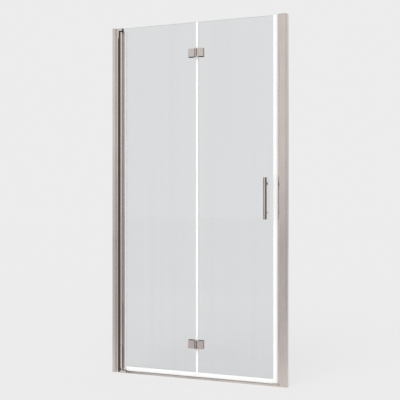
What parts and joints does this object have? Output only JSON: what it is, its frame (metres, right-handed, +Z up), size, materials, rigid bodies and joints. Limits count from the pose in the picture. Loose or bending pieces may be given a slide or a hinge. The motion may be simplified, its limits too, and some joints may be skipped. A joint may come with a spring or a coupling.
{
  "type": "shower door",
  "caption": "Frameless folding pivot shower door for a recess: a pane on a round turning stile and a second pane on glass hinges, with bar handle, seals, jambs and threshold.",
  "frame": {"origin": "on the shower tray, midway between the two walls, in the middle plane of the glass", "axes": "+X from the hinge-side wall to the strike-side wall, +Y into the shower, +Z up"},
  "size_m": [1, 0.065, 1.95],
  "materials": {
    "nickel_aluminium": "extruded aluminium with a brushed nickel finish",
    "nickel_metal": "cast and turned metal with a brushed nickel finish",
    "stainless_steel": "plain stainless steel",
    "tempered_glass": "clear tempered glass with ground edges",
    "white_pvc": "white translucent seal",
    "clear_pvc": "clear gasket",
    "black_rubber": "matte black rubber",
    "nylon": "natural nylon",
    "grey_nylon": "moulded grey nylon",
    "magnet_strip": "flexible magnet"
  },
  "bodies": {
    "frame": {"left_wall_channel": "nickel_aluminium", "right_wall_channel": "nickel_aluminium", "hinge_jamb": "nickel_aluminium", "hinge_jamb_cap": "grey_nylon", "hinge_jamb_screws": "stainless_steel", "jamb_gasket": "black_rubber", "top_pivot_bracket": "nickel_metal", "top_bracket_screws": "stainless_steel", "top_pivot_pin": "stainless_steel", "bottom_pivot_block": "nickel_metal", "bottom_pivot_pin": "stainless_steel", "bottom_thrust_collar": "nickel_metal", "threshold": "nickel_aluminium", "strike_end_block": "nickel_metal", "strike_jamb": "nickel_aluminium", "strike_jamb_cap": "grey_nylon", "strike_jamb_screws": "stainless_steel", "strike_magnet_holder": "white_pvc", "strike_magnet_strip": "magnet_strip"},
    "pivot_panel": {"pivot_stile": "nickel_aluminium", "top_stile_plug": "black_rubber", "bottom_stile_plug": "grey_nylon", "top_pivot_bush": "nylon", "bottom_pivot_bush": "nylon", "pivot_glass": "tempered_glass", "stile_glazing_gasket": "clear_pvc", "pivot_drip_seal": "white_pvc", "upper_hinge_pivot_leaf": "nickel_metal", "upper_hinge_pivot_back_plate": "nickel_metal", "upper_hinge_pivot_pads": "black_rubber", "upper_hinge_pivot_screws": "stainless_steel", "upper_hinge_pin": "stainless_steel", "lower_hinge_pivot_leaf": "nickel_metal", "lower_hinge_pivot_back_plate": "nickel_metal", "lower_hinge_pivot_pads": "black_rubber", "lower_hinge_pivot_screws": "stainless_steel", "lower_hinge_bush": "nylon"},
    "fold_panel": {"fold_glass": "tempered_glass", "fold_seal": "white_pvc", "magnetic_seal": "white_pvc", "seal_magnet": "magnet_strip", "fold_drip_seal": "white_pvc", "upper_hinge_fold_leaf": "nickel_metal", "upper_hinge_fold_back_plate": "nickel_metal", "upper_hinge_fold_pads": "black_rubber", "upper_hinge_fold_screws": "stainless_steel", "upper_hinge_bush": "nylon", "lower_hinge_fold_leaf": "nickel_metal", "lower_hinge_fold_back_plate": "nickel_metal", "lower_hinge_fold_pads": "black_rubber", "lower_hinge_fold_screws": "stainless_steel", "lower_hinge_pin": "stainless_steel", "handle_bar": "nickel_metal", "handle_upper_post": "nickel_metal", "handle_lower_post": "nickel_metal", "handle_washers": "clear_pvc", "handle_rear_caps": "nickel_metal", "handle_screws": "stainless_steel"}
  },
  "joints": [
    {"name": "pivot_swing", "type": "hinge", "parent": "frame", "child": "pivot_panel", "pos_m": [-0.445, 0, 0], "axis": [0, 0, 1], "range_deg": [0, 90]},
    {"name": "fold", "type": "hinge", "parent": "pivot_panel", "child": "fold_panel", "pos_m": [-0.0035, -0.0145, 0], "axis": [0, 0, 1], "range_deg": [-174, 0]}
  ]
}
